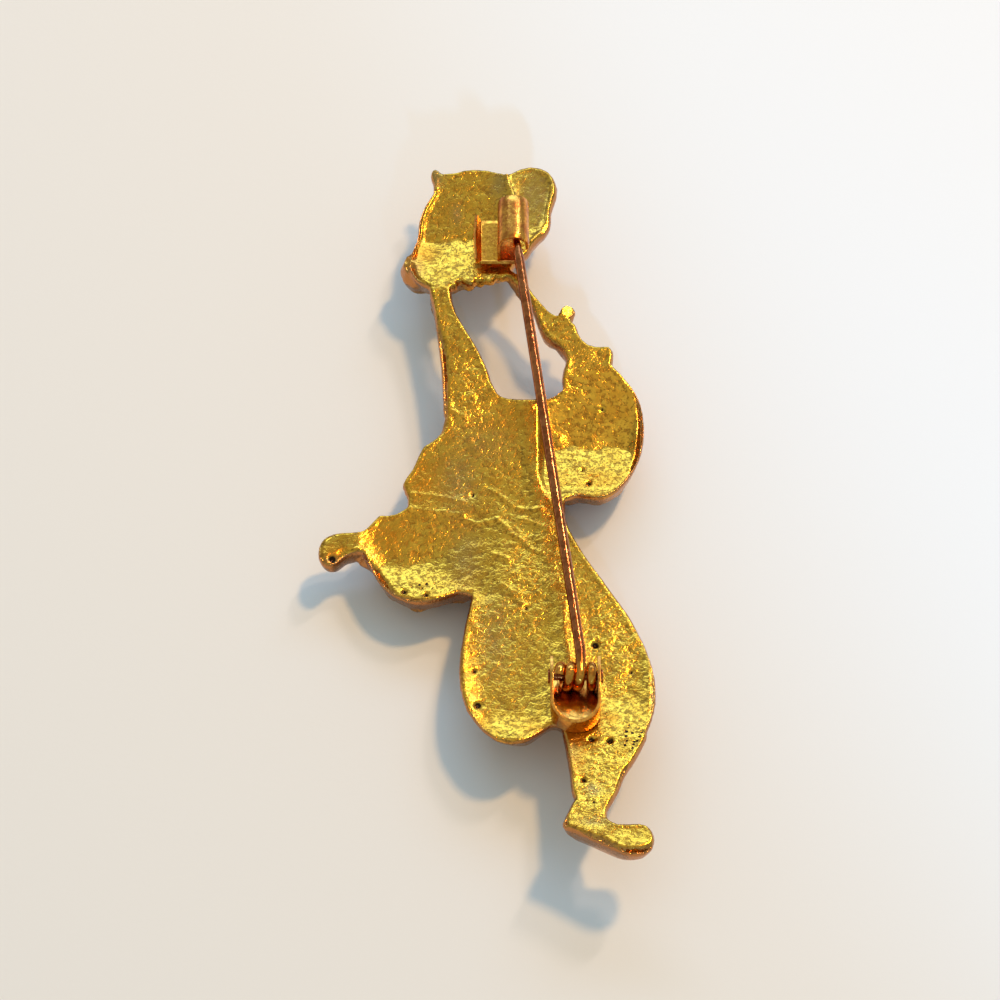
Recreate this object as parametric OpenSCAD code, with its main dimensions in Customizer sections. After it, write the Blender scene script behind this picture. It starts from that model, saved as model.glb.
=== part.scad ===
// Clown brooch: a cast, gold-plated relief figure lying on its face, with a tube catch on the
// back of the head and a sprung pin hinged in a small cup on the trousers. Millimetres, +Z up,
// back of the figure upwards, head towards +Y. Origin: middle of the footprint, on the surface.

/* [Casting] */
// Height of the back above the surface at the waist
waist_z = 4.7; // [4.7:0.05:6]
// Radius of the bow of the back from the waist down to the shoe
bow_r = 200; // [195:5:260]
// How much higher the back of the head lies than the waist
head_rise = 1.6; // [1.4:0.1:2.4]
// How far the rounded back edge steps in
edge_in = 0.32; // [0.2:0.02:0.4]
// Depth of the shallow hollows in the back
dish_depth = 0.35; // [0.1:0.05:0.5]

/* [Pin] */
// Diameter of the pin wire
wire_d = 0.9; // [0.7:0.02:0.9]
// Length of the pin from its bend in front of the coil to the tip
pin_len = 48.1; // [46:0.1:49]
// Sideways lean of the pin towards the catch, degrees
pin_lean = 7.1; // [6.8:0.05:7.6]
// Upward slope of the pin towards the catch, degrees
pin_slope = 1.6; // [1.2:0.05:1.9]
// Length of the ground point
point_len = 6.5; // [3:0.5:9]

/* [Hinge] */
// Distance of the hinge axle from the origin, towards the shoe
axle_back = 19.4; // [18.9:0.1:20.4]
// Diameter of the hinge rivet
rivet_d = 0.7; // [0.5:0.05:0.8]
// Outer width of the hinge cup
cup_w = 4.36; // [4.32:0.02:5]
// Thickness of the sheet of the hinge cup and the catch
sheet = 0.28; // [0.25:0.01:0.3]
// Height of the ears of the hinge cup
ear_h = 2.65; // [2.4:0.05:3.2]

/* [Catch] */
// Outer width of the rolled tube
tube_w = 2.96; // [2.6:0.02:3.4]
// Height of the catch over the back of the head
catch_h = 4.1; // [4:0.1:4.6]
// Length of the rolled tube
tube_len = 5.05; // [4:0.05:6]

/* [Hidden] */
seat_gap = 0.02;
run_gap = 0.05;
wire_r = wire_d / 2;
over_back = 0.6;
edge_drop = 0.5;

// Back surface: level under the head, dipping to the waist, and bowed up again to the shoe
level_y = 26;
function back_z(y) = y < 0
    ? waist_z + y * y / (2 * bow_r)
    : waist_z + head_rise * (1 - cos(180 * min(y, level_y) / level_y)) / 2;

// Outlines are drawn about the waist; everything is moved so that the footprint lies centred
footprint_mid = [-0.26, 0.57];
module placed()
    translate([-footprint_mid[0], -footprint_mid[1], 0])
        children();

// Closed smooth curve through a few points, and the same turned to run anticlockwise
function wrap(p, i) = p[(i + len(p)) % len(p)];
function curve_point(a, b, c, d, t) =
    (2 * b + (c - a) * t + (2 * a - 5 * b + 4 * c - d) * t * t + (3 * b - a - 3 * c + d) * t * t * t) / 2;
function smooth_loop(p, steps) = [
    for (i = [0 : len(p) - 1], s = [0 : steps - 1])
        curve_point(wrap(p, i - 1), p[i], wrap(p, i + 1), wrap(p, i + 2), s / steps)
];
function loop_area(p, i = 0) = i == len(p) ? 0
    : (p[i][0] * wrap(p, i + 1)[1] - wrap(p, i + 1)[0] * p[i][1]) / 2 + loop_area(p, i + 1);
function anticlockwise(p) = loop_area(p) > 0 ? p : [for (i = [len(p) - 1 : -1 : 0]) p[i]];
function outward(p, i) = let (run = wrap(p, i + 1) - wrap(p, i - 1)) [run[1], -run[0]] / norm(run);

// Rim of every cushion: how far it steps in, and how far it lies over the back
rim_in = [edge_in * (1 + over_back / edge_drop), 0];
rim_up = [over_back, -edge_drop];
front_turns = [24, 45, 68];

// A cushion of cast relief: full at the rim, domed towards the front, following the bowed back
module cushion(outline, centre, depth, steps) {
    loop = smooth_loop(anticlockwise(outline), steps);
    count = len(loop);
    wall = -rim_up[len(rim_up) - 1];
    rim = [
        for (k = [0 : len(rim_in) - 1], i = [0 : count - 1])
            let (p = loop[i] - outward(loop, i) * rim_in[k])
                [p[0], p[1], back_z(p[1]) + rim_up[k]]
    ];
    dome = [
        for (turn = front_turns, i = [0 : count - 1])
            let (p = centre + (loop[i] - centre) * cos(turn))
                [p[0], p[1], back_z(p[1]) - wall - (depth - wall) * sin(turn)]
    ];
    tips = [
        [centre[0], centre[1], back_z(centre[1]) + over_back],
        [centre[0], centre[1], back_z(centre[1]) - depth]
    ];
    rings = len(rim_in) + len(front_turns);
    top = rings * count;
    sides = [
        for (k = [0 : rings - 2], i = [0 : count - 1], half = [0, 1])
            let (a = k * count + i, b = k * count + (i + 1) % count)
                half == 0 ? [a, b, b + count] : [a, b + count, a + count]
    ];
    caps = [
        for (i = [0 : count - 1], end = [0, 1])
            let (j = (i + 1) % count, last = (rings - 1) * count)
                end == 0 ? [j, i, top] : [last + i, last + j, top + 1]
    ];
    polyhedron(points = concat(rim, dome, tips), faces = concat(sides, caps), convexity = 6);
}

// Outlines of the relief as seen from straight above its back, each point [x, y]
head = [
    [1.8, 36.7], [0.9, 37.1], [-0.1, 37.4], [-1.3, 37.5], [-2.4, 37.4], [-3.2, 37.1], [-4.2, 37.05],
    [-5.0, 36.6], [-5.3, 35.6], [-5.25, 34.8], [-5.6, 34.1], [-6.1, 33.1], [-6.45, 32.0], [-6.65, 31.0],
    [-6.7, 30.0], [-6.75, 29.2], [-7.0, 28.4], [-7.3, 27.3], [-7.5, 25.9], [-7.0, 24.5], [-6.0, 23.6],
    [-4.8, 23.2], [-3.8, 23.4], [-2.7, 24.1], [-1.4, 24.5], [0.2, 24.8], [1.8, 25.1], [2.6, 26.2],
    [2.9, 28.2], [2.9, 31.4], [2.4, 34.8]
];
hat = [
    [1.5, 36.6], [2.1, 37.0], [2.9, 37.5], [3.9, 37.8], [4.9, 37.7], [5.8, 37.2], [6.35, 36.4], [6.62, 35.3],
    [6.55, 34.3], [6.25, 33.3], [6.0, 32.3], [6.0, 31.3], [5.85, 30.4], [5.4, 29.6], [4.8, 29.0],
    [4.2, 28.2], [3.8, 27.3], [3.0, 26.4], [2.2, 26.3], [1.6, 28.0], [1.3, 31.0], [1.3, 34.0]
];
neck = [
    [-5.6, 23.2], [-5.2, 21.4], [-4.9, 19.3], [-4.6, 17.0], [-4.35, 14.8], [-4.2, 12.4], [-4.1, 10.0],
    [-3.6, 8.0], [-1.0, 7.5], [2.0, 9.0], [2.2, 10.8], [0.95, 12.0], [0.4, 13.2], [0.0, 14.6], [-0.55, 16.0],
    [-1.2, 17.4], [-2.1, 19.0], [-2.9, 20.6], [-3.3, 22.0], [-3.5, 24.0], [-4.6, 24.6]
];
torso = [
    [7.2, 12.4], [6.3, 11.9], [5.3, 11.5], [4.0, 11.4], [2.6, 11.4], [1.5, 11.6], [0.3, 12.4], [-1.8, 12.6],
    [-3.6, 11.0], [-4.1, 9.0], [-4.3, 8.0], [-5.0, 7.1], [-6.0, 6.4], [-6.5, 5.2], [-6.95, 4.0], [-7.5, 3.2],
    [-7.8, 2.4], [-7.6, 1.7], [-7.3, 1.0], [-7.3, 0.2], [-7.5, -0.7], [-6.0, -3.0], [-2.0, -4.5], [3.0, -4.5],
    [6.6, -2.6], [7.0, -0.4], [7.0, 1.4], [7.6, 5.0], [7.8, 9.0]
];
right_sleeve = [
    [7.3, 13.8], [8.9, 14.8], [11.3, 14.9], [11.9, 14.5], [12.6, 13.7], [13.2, 12.85], [13.7, 11.9],
    [14.05, 10.9], [14.25, 9.7], [14.32, 8.5], [14.25, 7.2], [14.05, 6.0], [13.7, 4.9], [13.2, 3.8],
    [12.5, 2.7], [11.6, 1.7], [10.6, 1.05], [9.6, 0.95], [8.7, 1.1], [7.9, 1.2], [7.1, 0.8], [6.2, 1.6],
    [5.4, 4.5], [5.3, 8.0], [6.0, 11.0], [6.8, 12.4]
];
right_cuff = [
    [8.2, 19.4], [8.4, 18.5], [8.8, 17.7], [9.4, 17.1], [10.2, 16.95], [11.2, 17.0], [11.65, 16.5],
    [11.6, 15.6], [11.5, 14.9], [10.5, 13.6], [8.6, 12.6], [6.9, 12.4], [6.75, 13.4], [6.9, 14.5],
    [7.2, 15.5], [6.9, 16.4], [6.2, 17.2], [6.0, 18.6], [6.8, 19.6]
];
forearm = [
    [1.8, 25.7], [3.2, 24.7], [3.95, 23.4], [4.45, 22.5], [5.1, 21.6], [5.8, 20.7], [6.5, 20.2], [7.3, 20.0],
    [8.0, 19.5], [8.2, 18.4], [7.6, 17.0], [6.9, 16.6], [5.9, 17.2], [5.05, 18.1], [4.6, 19.3], [4.25, 20.6],
    [3.75, 21.9], [3.2, 22.9], [2.55, 23.7], [1.6, 24.7]
];
left_sleeve = [
    [-7.4, -0.1], [-8.2, -0.65], [-9.1, -0.85], [-9.8, -0.8], [-10.3, -1.4], [-11.0, -2.3], [-11.5, -3.3],
    [-11.3, -4.6], [-10.9, -5.6], [-10.4, -6.6], [-9.9, -7.6], [-9.2, -8.6], [-8.4, -9.4], [-7.5, -9.9],
    [-6.5, -10.25], [-5.3, -10.2], [-4.1, -9.9], [-3.2, -9.5], [-2.4, -9.2], [-1.5, -9.3], [0.4, -8.0],
    [1.0, -4.0], [-0.5, -0.6], [-4.5, 1.0]
];
left_hand = [
    [-10.6, -2.3], [-11.4, -2.55], [-12.2, -2.65], [-13.1, -2.65], [-14.0, -2.85], [-14.8, -3.4],
    [-15.15, -4.3], [-15.15, -5.3], [-14.75, -6.1], [-14.1, -6.5], [-13.4, -6.1], [-12.8, -5.45],
    [-12.0, -5.0], [-11.0, -4.8], [-10.0, -4.0]
];
trousers = [
    [6.9, 0.9], [7.0, -0.9], [7.4, -2.3], [7.9, -3.4], [8.5, -4.6], [9.2, -5.9], [10.0, -7.2], [10.8, -8.6],
    [11.7, -10.1], [12.5, -11.5], [13.2, -13.1], [13.85, -14.8], [14.35, -16.5], [14.62, -18.2],
    [14.68, -20.0], [14.5, -21.6], [14.2, -22.7], [13.8, -23.9], [13.1, -25.4], [11.0, -26.5], [8.0, -25.6],
    [6.4, -23.3], [5.5, -23.3], [4.5, -24.1], [3.3, -24.9], [2.0, -25.1], [0.8, -24.8], [-0.3, -23.9],
    [-1.1, -22.8], [-1.8, -21.6], [-2.2, -20.3], [-2.45, -18.9], [-2.53, -17.4], [-2.47, -15.9],
    [-2.3, -14.4], [-2.1, -12.9], [-1.85, -11.5], [-1.6, -10.2], [-1.2, -8.0], [-0.4, -4.0], [1.5, -0.5]
];
leg = [
    [6.3, -23.2], [6.45, -24.3], [6.62, -25.3], [6.75, -26.4], [6.9, -27.4], [7.0, -28.4], [7.05, -29.4],
    [7.2, -30.5], [8.2, -32.2], [10.0, -32.6], [10.25, -31.9], [10.7, -31.0], [11.1, -30.2], [11.4, -29.4],
    [11.65, -28.6], [12.1, -27.7], [12.7, -26.7], [13.2, -25.7], [13.8, -24.3], [13.4, -22.0],
    [10.0, -20.5], [7.2, -21.5]
];
shoe = [
    [7.7, -30.2], [7.1, -31.3], [6.6, -32.5], [6.25, -33.4], [6.5, -33.85], [7.2, -34.1], [8.1, -34.6],
    [9.1, -35.15], [10.0, -35.65], [10.8, -36.1], [11.6, -36.5], [12.5, -36.65], [13.3, -36.45],
    [13.9, -35.9], [14.1, -35.0], [13.95, -34.15], [13.5, -33.55], [12.8, -33.35], [11.9, -33.4],
    [11.1, -33.4], [10.5, -33.15], [10.15, -32.7], [10.05, -31.9], [10.0, -30.6], [8.8, -29.8]
];

// Cushions of the figure, each row: outline, [x, y] of its deepest place, depth under the back,
// and how many steps its curve takes from point to point. Both sleeves and the trousers reach the
// surface: the brooch rests on them.
cushions = [
    [head, [-2.2, 30.4], 5.0, 2],
    [hat, [4.0, 32.8], 3.1, 1],
    [neck, [-3.3, 15.2], 2.9, 1],
    [torso, [0.2, 4.6], 3.9, 1],
    [right_sleeve, [10.0, 7.6], back_z(7.6), 2],
    [right_cuff, [8.6, 16.2], 3.0, 1],
    [forearm, [5.4, 20.2], 2.4, 1],
    [left_sleeve, [-5.2, -4.8], back_z(-4.8), 2],
    [left_hand, [-13.0, -4.5], 2.8, 2],
    [trousers, [4.6, -14.2], back_z(-14.2), 1],
    [leg, [9.4, -26.6], 3.6, 1],
    [shoe, [10.2, -34.4], 3.3, 1]
];

// A bead of cast relief: [x, y], radius, and how far its middle lies under the back
module bead(place, radius, under) {
    translate([place[0], place[1], back_z(place[1]) - under])
        sphere(r = radius, $fn = 10);
}

// A rounded ridge of cast relief along a row of [x, y, depth under the back]
module ridge(row, radius) {
    for (i = [0 : len(row) - 2])
        hull()
            for (p = [row[i], row[i + 1]])
                translate([p[0], p[1], back_z(p[1]) - p[2]])
                    sphere(r = radius, $fn = 6);
}

// Face and hair: a plain round nose, cheeks, brows, closed eyes and a quiet mouth
face = [-2.5, 30.2];
module face_relief() {
    bead(face + [-0.2, -0.1], 0.95, 5.0);
    for (side = [-1, 1]) {
        bead(face + [1.75 * side, -1.0], 0.85, 4.2);
        ridge([for (a = [-1 : 0.5 : 1]) [face[0] + 1.5 * side + 0.75 * a, face[1] + 1.35 + 0.25 * a * a, 4.7]], 0.22);
        ridge([for (a = [-1 : 1 : 1]) [face[0] + 1.6 * side + 0.9 * a, face[1] + 2.7 - 0.3 * a * a, 4.35]], 0.26);
    }
    ridge([for (a = [-1 : 0.5 : 1]) [face[0] - 0.1 + 1.5 * a, face[1] - 2.5 + 0.6 * a * a, 4.5]], 0.28);
}
curls = 9;
module hair() {
    bead([-6.4, 26.45], 2.0, 1.95);
    hull() {
        bead([-4.75, 35.9], 0.6, 0.75);
        bead([-5.08, 36.95], 0.55, 0.7);
    }
    for (i = [0 : 3])
        bead([-2.4 + 1.1 * i, 25.1 + 0.18 * i], 0.75, 1.4);
    for (i = [0 : curls - 1])
        bead([4.1 + 1.1 * cos(40 * i), 33.2 + 2.0 * sin(40 * i)], 0.85, 2.4);
    bead([4.1, 33.2], 1.1, 2.7);
}

// Frills: short ridges fanned across the collar, the cuffs and the ankle
module frill(place, from, to, folds, inner, outer, under, radius) {
    for (i = [0 : folds - 1])
        let (a = from + (to - from) * i / (folds - 1))
            ridge([for (r = [inner, outer]) [place[0] + r * cos(a), place[1] + r * sin(a), under]], radius);
}
module frills() {
    frill([-1.5, 12.2], 225, 315, 6, 0.9, 2.7, 3.0, 0.5);
    frill([8.3, 17.8], 250, 355, 5, 0.8, 2.4, 2.5, 0.5);
    frill([-12.9, -4.2], 335, 390, 4, 1.9, 2.9, 1.7, 0.5);
    frill([9.1, -29.2], 215, 290, 4, 0.4, 1.7, 2.8, 0.5);
    hull() {
        bead([7.5, 20.75], 0.66, 0.6);
        bead([7.3, 19.7], 0.5, 1.0);
    }
}

// Pompoms down the front
pompoms = [[-0.3, 8.6], [0.6, 3.6], [1.6, -1.4]];
module pompom_row() {
    for (p = pompoms)
        bead(p, 1.15, 3.4);
}

// Everything above the back surface
module over_the_back() {
    ys = [for (y = [-38.1 : 2.53 : 38]) y];
    rotate([90, 0, 90])
        translate([0, 0, -20])
            linear_extrude(height = 40)
                polygon(concat([for (y = ys) [y, back_z(y)]], [[38, 20], [-38, 20]]));
}

// Shallow hollows, each row: [x, y], radius at the back surface
dishes = [
    [[-3.6, 28.6], 2.9], [[4.3, 33.6], 1.7], [[10.2, 6.8], 3.6], [[-6.0, -5.0], 4.0], [[1.4, -17.6], 3.6],
    [[11.3, -18.6], 2.4], [[9.3, -27.6], 1.8], [[12.1, -34.9], 1.1]
];
module dish(place, radius)
    translate([place[0], place[1], back_z(place[1])])
        rotate_extrude($fn = 24)
            polygon(concat(
                [for (f = [0 : 0.25 : 1]) [radius * f, dish_depth * (f * f - 1)]],
                [[radius * 1.25, dish_depth * 0.7], [0, dish_depth * 0.7]]
            ));

module figure() color("goldenrod") placed()
    difference() {
        union() {
            for (row = cushions)
                cushion(row[0], row[1], row[2], row[3]);
            face_relief();
            hair();
            frills();
            pompom_row();
        }
        over_the_back();
        for (row = dishes)
            dish(row[0], row[1]);
    }

// Catch: a base plate with a turned-up flange, and a riser that rolls over into a tube whose
// mouth faces right
tube_x = 2.34;
tube_y = 25.95;
plate_x = -1.3;
plate_end = 3.1;
plate_out = 0.35;
lip_turn = 20;
module plate_section() {
    translate([plate_x, 0])
        square([plate_end - plate_x, sheet]);
    translate([plate_x, 0])
        square([sheet, 2.2 * sheet]);
}
module tube_section() {
    tube_z = catch_h - tube_w / 2;
    translate([tube_x - tube_w / 2, 0])
        square([sheet, tube_z]);
    intersection() {
        translate([tube_x, tube_z])
            difference() {
                circle(d = tube_w, $fn = 48);
                circle(d = tube_w - 2 * sheet, $fn = 48);
            }
        union() {
            translate([tube_x - tube_w, tube_z])
                square([2 * tube_w, tube_w]);
            translate([tube_x, tube_z])
                polygon([[0, 0], [tube_w, 0], [tube_w, -tube_w * tan(lip_turn)]]);
        }
    }
}
module catch() color("peru") placed()
    translate([0, tube_y + tube_len, back_z(tube_y + tube_len) + seat_gap])
        rotate([90, 0, 0]) {
            linear_extrude(height = tube_len + plate_out)
                plate_section();
            linear_extrude(height = tube_len)
                tube_section();
        }

// Hinge: a cup of bent sheet, open at the top and towards the head, tilted with the back
cup_x = 7.6;
cup_end = 24.2;
cup_mouth = 17.9;
rim_fall = 16;
cup_slope = atan(-axle_back / bow_r);
// lifts the flat floor clear of the hollow bow of the back
cup_lift = 0.06;
coil_r = rivet_d / 2 + 0.5;
axle_up = sheet + 0.1 + coil_r + wire_r;
module on_trousers()
    translate([cup_x, -axle_back, back_z(-axle_back) + seat_gap])
        rotate([cup_slope, 0, 0])
            children();
module cup_plan(inset) {
    round_y = axle_back - cup_end + cup_w / 2;
    translate([0, round_y])
        circle(d = cup_w - 2 * inset, $fn = 48);
    translate([inset - cup_w / 2, round_y])
        square([cup_w - 2 * inset, axle_back - cup_mouth - round_y]);
}
module hinge_cup() color("peru") placed()
    on_trousers()
        difference() {
            translate([0, 0, cup_lift])
                linear_extrude(height = ear_h - cup_lift)
                    cup_plan(0);
            translate([0, 0.01, cup_lift + sheet])
                linear_extrude(height = ear_h)
                    cup_plan(sheet);
            translate([-cup_w, -1.2, ear_h])
                rotate([rim_fall, 0, 0])
                    translate([0, -8, 0])
                        cube([2 * cup_w, 8, 4]);
            translate([-cup_w, 0, axle_up])
                rotate([0, 90, 0])
                    cylinder(d = rivet_d + 2 * run_gap, h = 2 * cup_w, $fn = 32);
        }

head_t = 0.18;
module hinge_rivet() color("sienna") placed()
    on_trousers()
        translate([0, 0, axle_up])
            rotate([0, 90, 0]) {
                cylinder(d = rivet_d, h = cup_w + 2 * seat_gap, center = true, $fn = 32);
                for (side = [-1, 1])
                    translate([0, 0, side * (cup_w / 2 + seat_gap + head_t / 2)])
                        cylinder(d = 1.25, h = head_t, center = true, $fn = 32);
            }

// Pin: four turns of wire on a bushing round the rivet; a straight root leaves the top of the
// third turn and bends sideways into the long stem
turns = 4;
turn_pitch = 0.92;
stem_turn = 2;
root_len = 1.9;
root_bite = 0.05;
root_d = wire_d + 0.02;
stem_d = wire_d + 0.04;
module pin_stem() color("sienna") placed() {
    on_trousers()
        translate([0, 0, axle_up])
            rotate([0, 90, 0])
                difference() {
                    union() {
                        for (i = [0 : turns - 1])
                            translate([0, 0, (i - (turns - 1) / 2) * turn_pitch])
                                rotate_extrude($fn = 48)
                                    translate([coil_r, 0])
                                        circle(d = wire_d, $fn = 32);
                        cylinder(r = coil_r - 0.22, h = (turns - 1) * turn_pitch, center = true, $fn = 48);
                    }
                    cylinder(d = rivet_d + 2 * run_gap, h = 2 * turns * turn_pitch, center = true, $fn = 48);
                }
    root_x = cup_x + (stem_turn - (turns - 1) / 2) * turn_pitch;
    root_y = -axle_back - axle_up * sin(cup_slope);
    root_z = back_z(-axle_back) + seat_gap + axle_up * cos(cup_slope) + coil_r;
    translate([root_x, root_y, root_z])
        rotate([-90 + pin_slope, 0, 0])
            cylinder(d = root_d, h = root_len + root_bite, $fn = 48);
    translate([root_x, root_y + root_len * cos(pin_slope), root_z + root_len * sin(pin_slope)])
        rotate([-90 + pin_slope, 0, pin_lean]) {
            cylinder(d = stem_d, h = pin_len - point_len, $fn = 48);
            translate([0, 0, pin_len - point_len])
                cylinder(d1 = stem_d, d2 = 0.2, h = point_len, $fn = 48);
        }
}

figure();
catch();
hinge_cup();
hinge_rivet();
pin_stem();
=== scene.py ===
"""Clown brooch, lying on its face: the cast, gold-plated figure with its rough back, the copper
tube catch, the hinge cup with its rivet, and the sprung pin. Metres, +Z up, head towards +Y."""

import math

import bmesh
import bpy
import numpy as np
from mathutils import Matrix, Vector, kdtree, noise


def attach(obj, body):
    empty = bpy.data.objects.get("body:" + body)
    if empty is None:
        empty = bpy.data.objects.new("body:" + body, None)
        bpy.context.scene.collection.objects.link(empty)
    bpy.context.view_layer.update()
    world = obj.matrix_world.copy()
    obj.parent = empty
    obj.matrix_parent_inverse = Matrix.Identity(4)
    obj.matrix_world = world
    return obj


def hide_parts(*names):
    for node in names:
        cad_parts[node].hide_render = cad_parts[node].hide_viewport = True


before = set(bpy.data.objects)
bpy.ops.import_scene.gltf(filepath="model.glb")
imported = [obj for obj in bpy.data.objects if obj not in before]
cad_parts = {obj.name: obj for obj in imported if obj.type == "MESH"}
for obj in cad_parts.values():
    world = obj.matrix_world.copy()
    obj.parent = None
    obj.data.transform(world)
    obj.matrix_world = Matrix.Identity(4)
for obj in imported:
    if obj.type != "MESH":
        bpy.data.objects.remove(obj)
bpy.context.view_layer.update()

MM = 0.001
# The outlines of the cast are drawn about the waist, this far from the middle of the footprint
WAIST = np.array([-0.26, 0.57])

# Camera
VIEW_TILT = math.radians(33)
VIEW_DISTANCE = 0.3
VIEW_TARGET = Vector((1.36, -0.17, 5.0)) * MM
VIEW_LENS = 120


def add_camera():
    data = bpy.data.cameras.new("main_view")
    data.lens = VIEW_LENS
    data.sensor_width = 36
    data.clip_start = 0.01
    camera = bpy.data.objects.new("main_view", data)
    back = Vector((0, -math.sin(VIEW_TILT), math.cos(VIEW_TILT)))
    camera.location = VIEW_TARGET + back * VIEW_DISTANCE
    camera.rotation_euler = (VIEW_TILT, 0, 0)
    bpy.context.collection.objects.link(camera)
    bpy.context.scene.camera = camera


# Node helpers

def add_node(tree, kind, **settings):
    """A node with its properties set, and its inputs set or linked by name or number."""
    node = tree.nodes.new(kind)
    inputs = settings.pop("inputs", {})
    for name, value in settings.items():
        setattr(node, name, value)
    for key, value in inputs.items():
        if isinstance(value, bpy.types.NodeSocket):
            tree.links.new(value, node.inputs[key])
        else:
            node.inputs[key].default_value = value
    return node


def new_group(name, inputs, outputs):
    """An empty shader node group with named float inputs, given as {name: value}, and named float
    outputs. Gives the group, with the sockets that its inputs and its outputs have inside it."""
    group = bpy.data.node_groups.new(name, "ShaderNodeTree")
    for label, value in inputs.items():
        socket = group.interface.new_socket(label, in_out="INPUT", socket_type="NodeSocketFloat")
        socket.default_value = value
    for label in outputs:
        group.interface.new_socket(label, in_out="OUTPUT", socket_type="NodeSocketFloat")
    given = group.nodes.new("NodeGroupInput")
    out = group.nodes.new("NodeGroupOutput")
    return group, given.outputs, out.inputs


def use_group(tree, group, inputs):
    """The outputs of the group, used with these inputs."""
    return add_node(tree, "ShaderNodeGroup", node_tree=group, inputs=inputs).outputs


def mix_colour(tree, factor, a, b):
    node = add_node(tree, "ShaderNodeMix", data_type="RGBA", inputs={0: factor, 6: a, 7: b})
    return node.outputs[2]


def maths(tree, operation, a, b):
    node = add_node(tree, "ShaderNodeMath", operation=operation, inputs={0: a, 1: b})
    return node.outputs[0]


def ramp(tree, value, low, high, to_low=0.0, to_high=1.0):
    """The value run softly from its low and high to two others, and held beyond them."""
    node = add_node(tree, "ShaderNodeMapRange", interpolation_type="SMOOTHSTEP",
                    inputs={0: value, 1: low, 2: high, 3: to_low, 4: to_high})
    return node.outputs[0]


def noise_value(tree, place, scale, detail=2.0, roughness=0.5, distortion=0.0):
    node = add_node(tree, "ShaderNodeTexNoise",
                    inputs={"Vector": place, "Scale": scale, "Detail": detail,
                            "Roughness": roughness, "Distortion": distortion})
    return node.outputs["Fac"]


def attribute(tree, name):
    return add_node(tree, "ShaderNodeAttribute", attribute_name=name).outputs["Fac"]


def object_place(tree):
    return add_node(tree, "ShaderNodeTexCoord").outputs["Object"]


def add_bump(tree, shader, height, strength, distance):
    """Raises the surface by the height, which is 1 at this distance in metres."""
    bump = add_node(tree, "ShaderNodeBump",
                    inputs={"Strength": strength, "Distance": distance, "Height": height})
    tree.links.new(bump.outputs[0], shader.inputs["Normal"])


def new_material(name):
    """A material with its node tree and its Principled shader."""
    material = bpy.data.materials.new(name)
    material.use_nodes = True
    tree = material.node_tree
    return material, tree, tree.nodes["Principled BSDF"]


# Shared effects

PORE_CELLS = 2300.0


def make_cast_skin():
    """Height of a rough cast skin: soft lumps, orange peel and sharp grain, with its large mottle,
    its fine recesses and its pores. The scales are in lumps, cells and grains to the metre."""
    group, given, out = new_group(
        "cast_skin",
        {"Lumps": 700.0, "Peel": 2600.0, "Grain": 6500.0, "Grain Share": 0.35, "Pores": 0.0},
        ("Height", "Mottle", "Recess", "Pore"))
    place = object_place(group)
    lumps = noise_value(group, place, given["Lumps"], distortion=0.3)
    peel = noise_value(group, place, given["Peel"], roughness=0.6, distortion=0.5)
    grain = noise_value(group, place, given["Grain"], detail=1.0, roughness=0.6)
    cells = add_node(group, "ShaderNodeTexVoronoi", feature="F1",
                     inputs={"Vector": place, "Scale": PORE_CELLS, "Randomness": 1.0})
    pore = maths(group, "MULTIPLY", ramp(group, cells.outputs["Distance"], 0.36, 0.22),
                 given["Pores"])
    rough = maths(group, "MULTIPLY", grain, given["Grain Share"])
    fine = maths(group, "ADD", peel, rough)
    height = maths(group, "ADD", fine, lumps)
    group.links.new(maths(group, "SUBTRACT", height, pore), out["Height"])
    group.links.new(ramp(group, lumps, 0.35, 0.65), out["Mottle"])
    # Recess: the low places of the fine skin, where the gilt gets painted shade and more roughness
    group.links.new(ramp(group, fine, 0.72, 0.54), out["Recess"])
    group.links.new(pore, out["Pore"])
    return group


def make_fine_scratches():
    """Height of fine handling scratches that run roughly one way, thin and broken."""
    group, given, out = new_group(
        "fine_scratches", {"Across": 9000.0, "Along": 500.0, "Turn": 0.6}, ("Height",))
    turned = add_node(group, "ShaderNodeVectorRotate", rotation_type="Z_AXIS",
                      inputs={"Vector": object_place(group), "Angle": given["Turn"]}).outputs[0]
    stretch = add_node(group, "ShaderNodeCombineXYZ",
                       inputs={0: given["Across"], 1: given["Along"],
                               2: given["Across"]}).outputs[0]
    scaled = add_node(group, "ShaderNodeVectorMath", operation="MULTIPLY",
                      inputs={0: turned, 1: stretch}).outputs[0]
    lines = noise_value(group, scaled, 1.0, detail=1.0)
    group.links.new(ramp(group, lines, 0.55, 0.75), out["Height"])
    return group


# Materials

GILT = (0.84, 0.44, 0.044, 1)
GILT_DEEP = (0.74, 0.34, 0.03, 1)
# Painted shade: the gilt darkened in the fine recesses of the skin
GILT_RECESS_SHADE = (0.30, 0.135, 0.016, 1)
# Warmer gilt: painted warm reflection, with copper tinging the plate
GILT_WARM = (0.74, 0.25, 0.015, 1)
# Darker, browner gilt: painted dim reflection, with a browner tone of the metal
GILT_DIM_BROWN = (0.40, 0.23, 0.07, 1)
COPPER_SHOW = (0.50, 0.21, 0.07, 1)
# Painted shade: near-black in the pits and pores
PIT_SHADE = (0.035, 0.016, 0.008, 1)
SHEET_TONES = ((0.82, 0.34, 0.05, 1), (0.50, 0.15, 0.025, 1))
WIRE_TONES = ((0.48, 0.15, 0.045, 1), (0.30, 0.075, 0.02, 1))
CUP_TONES = ((0.80, 0.36, 0.06, 1), (0.54, 0.20, 0.035, 1))
BRASS_TONES = ((0.88, 0.38, 0.04, 1), (0.60, 0.22, 0.025, 1))
PAPER = (0.825, 0.765, 0.70, 1)
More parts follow.
